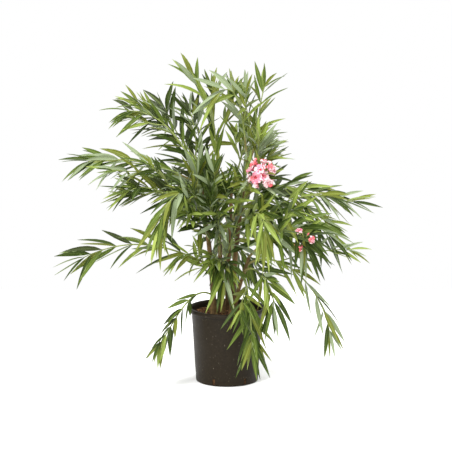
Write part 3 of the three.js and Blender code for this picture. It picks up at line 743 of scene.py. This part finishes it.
LIMB_SIDES = 20
BOUGH_SIDES = 12
LIMB_RING_STEP = 3
TWIG_SIDES = 7
TWIG_RING_STEP = 5
SCAR_GAP = 31
SCAR_LENGTH = 1.8
SCAR_HEIGHT = 0.45
SCAR_WAVER = 3
FURROW_HEIGHT = 0.45
FURROW_SCALE = 0.35
PORE_HEIGHT = 0.9
PORE_SCALE = 1.1
PORE_STRETCH = 0.35
PORE_LEVEL = 0.35
NODE_SWELLING = 0.5
NODE_LENGTH = 2.5
ROOT_LOBES = 3
LOBE_HEIGHT = 0.14


def bark_relief(key, stretch, strength):
    """Long furrows, old leaf scars round the limb, and small raised pores."""

    def relief(length, turn, place):
        x, y, z = place
        furrow = noise.noise(Vector((x * FURROW_SCALE, y * FURROW_SCALE, z * stretch + key)))
        pore = noise.noise(Vector((x * PORE_SCALE, y * PORE_SCALE, z * PORE_STRETCH + key)))
        off = (length + SCAR_WAVER * math.sin(turn + key)) % SCAR_GAP - SCAR_GAP / 2
        scar = SCAR_HEIGHT * math.exp(-((off / SCAR_LENGTH) ** 2))
        return (furrow * FURROW_HEIGHT + max(0, pore - PORE_LEVEL) * PORE_HEIGHT + scar) * strength

    return relief


def root_lobes(stem, path, key):
    """The flare at a stem's foot stands out in a few lobes."""
    radius = stem_radius(stem, path)
    relief = bark_relief(key, 0.07, 1)

    def lobed(length, turn, place):
        fade = math.exp(-max(length, 0) / FLARE_FADE)
        lobe = LOBE_HEIGHT * math.cos(ROOT_LOBES * turn + key) * fade
        return relief(length, turn, place) + lobe * radius(length)

    return lobed


# Pot

SLOT_COLUMNS = 4
WALL_COLUMNS = 36
SECTOR_COLUMNS = SLOT_COLUMNS + WALL_COLUMNS
# Radius and height of each row, up the outside and down the inside
POT_ROWS = (
    (90, 1.2), (93.2, 0.9), (95, 0.4), (95.7, 1.2), (95.8, 2.6), (95.75, SLOT_BOTTOM), (96.9, SLOT_TOP),
    (98.6, 48), (100.6, 80), (102.6, 112), (104.6, 144), (106.6, 176), (108.2, 202), (109, 214),
    (109.6, 216.4), (112, 217.4), (116.5, 217.8), (118.7, 218.4), (119.7, 219.8), (119.95, 222),
    (119.9, 225.4), (119.2, 227.9), (117.6, 229.4), (115.4, 230), (112.4, 229.9), (109.9, 229.2),
    (108.6, 227.6), (108.1, 224), (107.7, 216), (107.2, 206), (104, 210), (100.6, 96), (97.5, 48),
    (94.9, SLOT_TOP), (93.75, SLOT_BOTTOM), (93.2, POT_FLOOR),
)
BASE_LIFT = 1.2
FLUTES = 0.16
FLUTE_SCALE = 1.7
FLUTE_STRETCH = 0.02


def sector_turns():
    """Turns of the pot's columns: each sixth has a drain slot and a length of plain wall."""
    slot = SLOT_WIDTH / BASE_RADIUS
    sector = FULL_TURN / DRAIN_SLOTS
    turns = []
    for number in range(DRAIN_SLOTS):
        start = math.radians(-90 + FIRST_SLOT_TURN) + number * sector - slot / 2
        turns += [start + slot * i / SLOT_COLUMNS for i in range(SLOT_COLUMNS)]
        turns += [start + slot + (sector - slot) * i / WALL_COLUMNS for i in range(WALL_COLUMNS)]
    return turns


def pot_points(turns):
    points = []
    for radius, height in POT_ROWS:
        for turn in turns:
            place = (*polar(FLUTE_SCALE, turn, 0)[:2], height * FLUTE_STRETCH)
            points.append(polar(radius + FLUTES * noise.noise(Vector(place)), turn, height))
    return [*points, (0, 0, BASE_LIFT), (0, 0, POT_FLOOR)]


def pot_faces(around):
    """The wall without its drain slots, the sides of the slots, and the floor's two faces."""
    low, low_in = [row for row, (_, height) in enumerate(POT_ROWS) if height == SLOT_BOTTOM]
    high, high_in = low + 1, low_in - 1
    faces = [
        face
        for number, face in enumerate(ring_faces(len(POT_ROWS), around))
        if number % SECTOR_COLUMNS >= SLOT_COLUMNS or number // around not in (low, high_in)
    ]
    for first in range(0, around, SECTOR_COLUMNS):
        last = first + SLOT_COLUMNS
        for column in range(first, last):
            for outer, inner in ((low, low_in), (high, high_in)):
                near, far = outer * around + column, inner * around + column
                faces.append((near, far, far + 1, near + 1))
        for column in (first, last):
            faces.append(tuple(row * around + column for row in (low, low_in, high_in, high)))
    last_row = (len(POT_ROWS) - 1) * around
    middle = last_row + around
    for column in range(around):
        after = (column + 1) % around
        faces += [(middle, column, after), (middle + 1, last_row + after, last_row + column)]
    return faces


def pot_piece(material):
    turns = sector_turns()
    piece = Piece()
    piece.add(pot_points(turns), pot_faces(len(turns)), 0)
    pot = piece.make("pot_shell", [material], sharp=40)
    shaped = bmesh.new()
    shaped.from_mesh(pot.data)
    bmesh.ops.recalc_face_normals(shaped, faces=shaped.faces)
    shaped.to_mesh(pot.data)
    shaped.free()
    return pot


# Compost

COMPOST_SIDES = 120
COMPOST_RINGS = 26
COMPOST_SINK = 1.5
COMPOST_HEIGHTS = (140, 70, 24, POT_FLOOR + SEAT)
MOUND_HEIGHT = 2.2
MOUND_SCALE = 0.05
CRUMB_HEIGHT = 1.04
CRUMB_SCALE = 0.25
EDGE_CRUMB = 0.8
CHIPS = 620
CHIP_SEED = 41
CHIP_SIDES = 6
CHIP_REACH = 101
CHIP_EDGE = 104
CHIP_TILT = 0.25
CHIP_LENGTH = (4, 13)
CHIP_WIDTH = (2, 5.5)
CHIP_DEPTH = (0.7, 2)
CHIP_LIFT = (0.3, 1.8)
CHIP_SHIFT = (-0.25, 0.25)
CHIP_GROWTH = (0.82, 1.1)
CHIP_LEVELS = ((-1, 0.72), (-0.2, 1), (0.5, 0.95), (1, 0.6))


def compost_height(x, y):
    rough = noise.fractal(Vector((x * MOUND_SCALE, y * MOUND_SCALE, 3.1)), 0.8, 2.1, 4)
    crumbs = noise.noise(Vector((x * CRUMB_SCALE, y * CRUMB_SCALE, 9.0)))
    return SOIL_LEVEL - COMPOST_SINK + MOUND_HEIGHT * rough + CRUMB_HEIGHT * crumbs


def compost_piece(material):
    """The crumbly top, and below it the side that the pot holds."""
    slope = (NECK_RADIUS - BASE_RADIUS) / POT_HEIGHT
    turns = [FULL_TURN * side / COMPOST_SIDES for side in range(COMPOST_SIDES)]

    def wall(height):
        return BASE_RADIUS - (POT_WALL + SEAT + FLUTES) + slope * (height - POT_FLOOR)

    points = [(0, 0, compost_height(0, 0))]
    for ring in range(1, COMPOST_RINGS + 1):
        for turn in turns:
            x, y, _ = polar(wall(SOIL_LEVEL) * ring / COMPOST_RINGS, turn, 0)
            points.append((x, y, compost_height(x, y)))
    for height in COMPOST_HEIGHTS:
        for turn in turns:
            crumb = EDGE_CRUMB * noise.noise(Vector(polar(20, turn, height)))
            points.append(polar(wall(height) - EDGE_CRUMB + crumb, turn, height))
    rings = COMPOST_RINGS + len(COMPOST_HEIGHTS)
    faces = [(0, 1 + side, 1 + (side + 1) % COMPOST_SIDES) for side in range(COMPOST_SIDES)]
    faces += ring_faces(rings, COMPOST_SIDES, 1)
    last = 1 + (rings - 1) * COMPOST_SIDES
    faces.append(tuple(last + side for side in reversed(range(COMPOST_SIDES))))
    piece = Piece()
    piece.add(points, faces, 0)
    return piece.make("compost_bed", [material])


def chip_points(draw, at, forward, sideways, upward):
    """An uneven flake with two tapered faces, from its middle and its three half sizes."""
    points = []
    for level, share in CHIP_LEVELS:
        for number in range(CHIP_SIDES):
            angle = FULL_TURN * (number + draw.uniform(*CHIP_SHIFT)) / CHIP_SIDES
            grow = share * draw.uniform(*CHIP_GROWTH)
            points.append(at + between(forward, sideways, angle) * grow + upward * level)
    return points


def chips_piece(materials):
    """Bark chips strewn over the compost."""
    draw = np.random.default_rng(CHIP_SEED)
    piece = Piece()
    for _ in range(CHIPS):
        reach = CHIP_REACH * math.sqrt(draw.random())
        x, y, _ = polar(reach, FULL_TURN * draw.random(), 0)
        long, wide, deep = [draw.uniform(*size) for size in (CHIP_LENGTH, CHIP_WIDTH, CHIP_DEPTH)]
        if reach + long / 2 > CHIP_EDGE:
            continue
        turn, tilt = draw.uniform(0, FULL_TURN), draw.normal(0, CHIP_TILT)
        forward = np.array(polar(math.cos(tilt), turn, math.sin(tilt)))
        side = unit(np.cross(UP, forward) + UP * draw.normal(0, CHIP_TILT))
        upward = np.cross(forward, side)
        at = np.array((x, y, compost_height(x, y) + draw.uniform(*CHIP_LIFT)))
        points = chip_points(draw, at, forward * long / 2, side * wide / 2, upward * deep / 2)
        piece.add(points, capped_rings(len(CHIP_LEVELS), CHIP_SIDES), draw.integers(len(materials)))
    return piece.make("bark_chips", materials, sharp=30)


# Materials


class Look:
    """A new material with a plain colour. Noise over the piece's own coordinates varies it.

    A noise is a scale in waves a metre, and then its detail, roughness and stretch.
    """

    def __init__(self, name, colour, roughness, specular):
        self.material = bpy.data.materials.new(name)
        self.material.use_nodes = True
        self.nodes = self.material.node_tree.nodes
        self.link = self.material.node_tree.links.new
        self.shader = self.nodes["Principled BSDF"].inputs
        self.shader["Base Color"].default_value = (*colour, 1)
        self.shader["Roughness"].default_value = roughness
        self.shader["Specular IOR Level"].default_value = specular

    def add(self, kind, into, source, **values):
        """A new node that one output feeds."""
        node = self.nodes.new(kind)
        self.link(source, node.inputs[into])
        for name, value in values.items():
            node.inputs[name].default_value = value
        return node

    def noise(self, scale, detail=3, roughness=0.55, stretch=(1, 1, 1)):
        place = self.nodes.new("ShaderNodeTexCoord").outputs["Object"]
        place = self.add("ShaderNodeMapping", "Vector", place, Scale=stretch).outputs["Vector"]
        texture = self.add("ShaderNodeTexNoise", "Vector", place, Scale=scale, Detail=detail)
        texture.inputs["Roughness"].default_value = roughness
        return texture.outputs["Fac"]

    def embossed(self, strength, height, *noise):
        """Adds fine relief, which comes last, and gives the finished material."""
        bump = self.add("ShaderNodeBump", "Height", self.noise(*noise), Strength=strength, Distance=height)
        self.link(bump.outputs["Normal"], self.shader["Normal"])
        return self.material

    def roughen(self, least, most, *noise):
        values = {"To Min": least, "To Max": most}
        spread = self.add("ShaderNodeMapRange", "Value", self.noise(*noise), **values)
        self.link(spread.outputs["Result"], self.shader["Roughness"])

    def tint(self, stops, *noise):
        """Base colour from noise, as (place, colour) stops."""
        ramp = self.add("ShaderNodeValToRGB", "Fac", self.noise(*noise))
        elements = ramp.color_ramp.elements
        while len(elements) < len(stops):
            elements.new(0.5)
        for element, (place, colour) in zip(elements, stops):
            element.position = place
            element.color = (*colour, 1)
        self.link(ramp.outputs["Color"], self.shader["Base Color"])


# The upper side, the rib and the underside of each kind of leaf, with their roughness
LEAF_COLOURS = {
    "dark": ((0.031, 0.053, 0.006), (0.08, 0.115, 0.025), (0.12, 0.16, 0.06)),
    "deep": ((0.038, 0.05, 0.015), (0.08, 0.11, 0.04), (0.12, 0.15, 0.08)),
    # This kind is a pale grey-green that stands for the gloss on the leaves: a painted sheen, dealt out
    # like a leaf colour.
    "painted_sheen": ((0.215, 0.265, 0.145), (0.29, 0.35, 0.2), (0.24, 0.29, 0.18)),
    "mid": ((0.076, 0.118, 0.014), (0.16, 0.205, 0.045), (0.19, 0.24, 0.09)),
    "olive": ((0.13, 0.152, 0.02), (0.21, 0.26, 0.055), (0.24, 0.28, 0.1)),
    "light": ((0.185, 0.246, 0.042), (0.3, 0.36, 0.095), (0.3, 0.36, 0.14)),
    "young": ((0.27, 0.335, 0.062), (0.37, 0.44, 0.12), (0.36, 0.42, 0.15)),
}
LEAF_SIDES = (("upper", 0.42), ("rib", 0.5), ("under", 0.6))
PETAL_COLOURS = {
    "petal_throat": (0.66, 0.09, 0.11), "petal_rose": (0.84, 0.33, 0.43),
    "petal_pale": (0.91, 0.66, 0.68), "petal_coral": (0.8, 0.18, 0.2),
}
CHIP_TONES = (
    (0.055, 0.024, 0.01), (0.12, 0.05, 0.018), (0.2, 0.088, 0.034), (0.3, 0.15, 0.066),
    (0.08, 0.036, 0.016),
)
# Tones that noise mixes, each with its place on the ramp
POT_TONES = (
    (0.3, (0.009, 0.0052, 0.001)), (0.62, (0.0135, 0.0085, 0.0024)), (0.7, (0.019, 0.0125, 0.005)),
    (0.78, (0.15, 0.13, 0.1)),
)
COMPOST_TONES = (
    (0.3, (0.018, 0.01, 0.005)), (0.5, (0.06, 0.03, 0.013)), (0.68, (0.15, 0.072, 0.028)),
)
STEM_TONES = ((0.3, (0.05, 0.028, 0.009)), (0.52, (0.12, 0.072, 0.024)), (0.74, (0.26, 0.15, 0.056)))
BOUGH_TONES = ((0.3, (0.11, 0.085, 0.026)), (0.52, (0.19, 0.17, 0.048)), (0.74, (0.27, 0.25, 0.085)))
TWIG_TONES = ((0.3, (0.15, 0.19, 0.045)), (0.55, (0.23, 0.28, 0.07)), (0.76, (0.31, 0.36, 0.105)))


def leaf_materials():
    """For each kind of leaf the upper side, the rib and the underside, as plain colours."""
    return [
        Look(f"leaf_{kind}_{part}", colour, roughness, 0.15).embossed(0.25, 0.0006, 350, 2)
        for kind, colours in LEAF_COLOURS.items()
        for (part, roughness), colour in zip(LEAF_SIDES, colours)
    ]


def pot_material():
    """Dark moulded plastic with a few pale specks of dust."""
    look = Look("pot_moulded_plastic", (0.012, 0.0075, 0.0024), 0.5, 0.19)
    look.tint(POT_TONES, 170, 2, 0.5)
    look.roughen(0.42, 0.62, 60, 4)
    return look.embossed(0.25, 0.0003, 900, 3)


def compost_material():
    look = Look("compost_crumbs", (0.08, 0.045, 0.02), 0.95, 0.2)
    look.tint(COMPOST_TONES, 160, 5, 0.7)
    return look.embossed(0.8, 0.002, 420, 4)


def chip_materials():
    return [
        Look(f"bark_chip_{number}", tone, 0.85, 0.25).embossed(0.6, 0.0008, 700, 3, 0.55, (1, 3, 1))
        for number, tone in enumerate(CHIP_TONES)
    ]


def bark_material(name, tones, roughness):
    """Bark: streaks along the limb, with furrows and fine grain in the surface."""
    look = Look(name, tones[0][1], roughness, 0.3)
    look.tint(tones, 90, 5, 0.65, (1, 1, 0.3))
    look.roughen(roughness - 0.12, roughness + 0.1, 200, 3)
    return look.embossed(0.55, 0.0012, 500, 4, 0.6, (1, 1, 0.35))


def petal_materials():
    """Throat, rose petal, pale petal and coral petal or bud, as plain colours."""
    return [
        Look(name, colour, 0.55, 0.3).embossed(0.3, 0.0006, 450, 3, 0.6)
        for name, colour in PETAL_COLOURS.items()
    ]


# The plant

BARE_FROM = 0.15
STEM_SINK = 2
BOUGH_ENDS = (1, 2)
LEAF_PIECES = {
    "leaves_left": "upper_left left_upper left_middle left_hanging left_low left_skirt",
    "leaves_top": "top_left top_middle top_right crown_right upper_inner",
    "leaves_middle": "blossom front inner_left inner_middle pot_front foot_spray centre_fall",
    "leaves_right": "right_upper right_middle right_hanging right_inner right_low right_skirt",
    "leaves_back": "back_left back_middle back_right back_low back_upper",
}
# How the kinds of leaf are dealt out: the share of draws up to which each one is given.
# Each shoot's mix follows where it stands, so the mixes also paint light and shade: "shaded"
# gives the shoots inside and at the back dark kinds as painted shade, the paler mixes with much
# painted sheen go mostly to the top of the crown as painted light, and the default mix puts
# painted sheen among dark leaves.
SHADES = {
    "common": {"dark": 0.28, "deep": 0.38, "painted_sheen": 0.5, "mid": 0.74, "olive": 0.9, "light": 1},
    "shaded": {"dark": 0.34, "deep": 0.54, "painted_sheen": 0.64, "mid": 0.88, "olive": 1},
    "much_painted_sheen": {"dark": 0.16, "painted_sheen": 0.56, "mid": 0.78, "olive": 0.92, "light": 1},
    "paler_painted_sheen": {"dark": 0.03, "painted_sheen": 0.4, "mid": 0.55, "olive": 0.76, "light": 1},
    "contrasted": {"dark": 0.4, "painted_sheen": 0.58, "mid": 0.72, "olive": 0.84, "light": 1},
    "fresh": {"dark": 0.2, "mid": 0.46, "painted_sheen": 0.56, "olive": 0.82, "light": 1},
    "bright": {"mid": 0.2, "olive": 0.52, "light": 0.92, "young": 1},
    "green": {"dark": 0.36, "deep": 0.44, "mid": 0.76, "olive": 0.94, "light": 1},
    "palest_painted_sheen": {"painted_sheen": 0.5, "olive": 0.68, "light": 1},
}
# In these shades the whorl at each twig's tip is young and lighter.
YOUNG_TIPPED = ("common", "fresh")
TIP_SHADE = {"mid": 0.3, "olive": 0.65, "light": 0.93, "young": 1}


def kind_of(leaf, row):
    """The number of a leaf's kind, by its shoot's shade."""
    has_young_tip = leaf["whorl"] == 0 and row["shade"] in YOUNG_TIPPED
    shade = TIP_SHADE if has_young_tip else SHADES[row["shade"]]
    return list(LEAF_COLOURS).index(next(kind for kind, most in shade.items() if leaf["shade"] <= most))


def twigs_of(row, key):
    """The leafy twigs of a shoot: path, radius, length where it starts, and whorls."""
    path = shoot_path(row)
    start = path.length * row["bare"]
    whorls = whorls_of(path, row, key, start or FIRST_LEAF, row["leaf"])
    twigs = [(path, shoot_radius(path, row), start, whorls)]
    solid = [(number, FORK_LEAF_SHARE) for number in range(row["forks"])]
    finer = [(FINER_FIRST + number, FINER_LEAF_SHARE) for number in range(row["finer"])]
    for number, share in solid + finer:
        side = fork_path(path, row, key, number)

        def radius(length, side=side):
            return mix(FORK_RADIUS, TWIG_TIP_RADIUS, length / side.length)

        whorls = whorls_of(side, row, key + number + 1, FIRST_LEAF, row["leaf"] * share)
        twigs.append((side, radius, 0, whorls))
    return twigs


def with_nodes(radius_at, whorls):
    """A twig's radius, swollen where its leaves stand."""
    places = [length for length, _ in whorls]

    def radius(length):
        swelling = sum(math.exp(-(((length - place) / NODE_LENGTH) ** 2)) for place in places)
        return radius_at(length) + NODE_SWELLING * min(1, swelling)

    return radius


def grow_stems(room):
    stems = Piece()
    for number, stem in enumerate(STEMS.values()):
        path = stem_path(stem)
        radius = stem_radius(stem, path)
        room.add_limb(path, 0, path.length, radius)
        relief = root_lobes(stem, path, number * 7 + 1)
        stems.add(*tube(path, -STEM_SINK, path.length, radius, LIMB_SIDES, LIMB_RING_STEP, relief), 0)
    return stems


def grow_boughs(room, keys):
    """The bare first part of each shoot, and room for the blooms at its tip."""
    boughs = Piece()
    before, beyond = BOUGH_ENDS
    for row, key in zip(SHOOTS, keys):
        path = shoot_path(row)
        if row["bare"] > 0:
            radius = shoot_radius(path, row)
            end = path.length * row["bare"]
            room.add_limb(path, end * BARE_FROM, end, radius)
            relief = bark_relief(key, 0.09, 0.6)
            boughs.add(*tube(path, before, end + beyond, radius, BOUGH_SIDES, LIMB_RING_STEP, relief), 0)
        for at, direction, length in head_stalks(path, row["blooms"], key):
            room.add_ball(at + direction * (length + BLOOM_ROOM), BLOOM_ROOM)
    return boughs


def grow_shoots(room, keys):
    """Twigs, blossom and stalks, each kind in its own piece, and the leaves of each shoot."""
    twig_piece, blossom, stalks, leaves = Piece(), Piece(), Piece(), {}
    for row, key in zip(SHOOTS, keys):
        own = leaves[row["name"]] = []
        twigs = twigs_of(row, key)
        for path, radius, start, whorls in twigs:
            swollen = with_nodes(radius, whorls)
            twig_piece.add(*tube(path, start, path.length, swollen, TWIG_SIDES, TWIG_RING_STEP), 0)
            own += [leaf for _, ring in whorls for leaf in ring if room.is_free(leaf)]
        for leaf in own:
            leaf["kind"] = kind_of(leaf, row)
        if row["blooms"]:
            add_head(blossom, stalks, twigs[0][0], row["blooms"], key)
    return twig_piece, blossom, stalks, leaves


def add_plant():
    keys = [
        (number + 1 + SEED_STEP * row["seed"]) * KEYS_PER_SHOOT for number, row in enumerate(SHOOTS)
    ]
    room = Room()
    stems = grow_stems(room)
    boughs = grow_boughs(room, keys)
    twig_piece, blossom, stalks, leaves = grow_shoots(room, keys)
    brown = bark_material("stem_bark", STEM_TONES, 0.75)
    green = bark_material("bough_bark", BOUGH_TONES, 0.6)
    young = bark_material("twig_skin", TWIG_TONES, 0.5)
    bough_nodes = [f"bough_{row['name']}" for row in SHOOTS if row["bare"] > 0]
    finished(stems.make("woody_stems", [brown]), "bark", *[f"stem_{name}" for name in STEMS])
    finished(boughs.make("green_boughs", [green]), "bark", *bough_nodes)
    finished(twig_piece.make("leafy_twigs", [young]), "foliage")
    finished(blossom.make("pink_blossom", petal_materials(), sharp=70), "foliage")
    finished(stalks.make("flower_stalks", [young]), "foliage")
    materials = leaf_materials()
    for name, shoots in LEAF_PIECES.items():
        piece = Piece()
        add_leaves(piece, [leaf for shoot_name in shoots.split() for leaf in leaves[shoot_name]])
        nodes = [f"foliage_{shoot_name}" for shoot_name in shoots.split()]
        finished(piece.make(name, materials), "foliage", *nodes)


def add_pot():
    finished(pot_piece(pot_material()), "pot_plastic", "pot")
    finished(compost_piece(compost_material()), "compost", "soil")
    finished(chips_piece(chip_materials()), "compost")


# Studio

FLOOR_HALF = 1.3
CAMERA_PLACE = (-0.003, -6.0, 1.58)
CAMERA_TILT = 79.63
CAMERA_LENS = 159.05
LIGHT_AIM = Vector((0, 0, 0.5))
# Each light: its place, its size and its power
LIGHTS = {
    "key_light": ((-2.6, -3.2, 4.2), 1.9, 250),
    "fill_light": ((0.2, -4.6, 2.2), 3.4, 88),
    "top_light": ((0.3, 0.8, 4.4), 2.2, 120),
}


def add_floor():
    """A plain pale floor, which meets the white of the studio all round."""
    half = FLOOR_HALF
    corners = ((-half, -half, 0), (half, -half, 0), (half, half, 0), (-half, half, 0))
    mesh = bpy.data.meshes.new("studio_floor")
    mesh.from_pydata(corners, [], [(0, 1, 2, 3)])
    floor = placed("studio_floor", mesh)
    look = Look("studio_floor", (0.97, 0.97, 0.965), 0.85, 0.1)
    look.roughen(0.8, 0.9, 3, 2)
    mesh.materials.append(look.material)


def add_camera():
    camera = placed("camera", bpy.data.cameras.new("camera"))
    camera.location = CAMERA_PLACE
    camera.rotation_euler = (math.radians(CAMERA_TILT), 0, 0)
    camera.data.lens = CAMERA_LENS
    camera.data.sensor_width = 36
    camera.data.clip_end = 100
    bpy.context.scene.camera = camera


def add_light():
    for name, (place, size, power) in LIGHTS.items():
        light = bpy.data.lights.new(name, "AREA")
        light.shape = "DISK"
        light.size = size
        light.energy = power
        lamp = placed(name, light)
        lamp.location = place
        lamp.rotation_euler = (LIGHT_AIM - Vector(place)).to_track_quat("-Z", "Y").to_euler()
    world = bpy.data.worlds.new("studio")
    world.use_nodes = True
    background = world.node_tree.nodes["Background"]
    background.inputs["Color"].default_value = (1, 1, 1, 1)
    background.inputs["Strength"].default_value = 1.0
    bpy.context.scene.world = world
    bpy.context.scene.view_settings.view_transform = "Standard"


add_camera()
add_light()
add_floor()
add_pot()
add_plant()
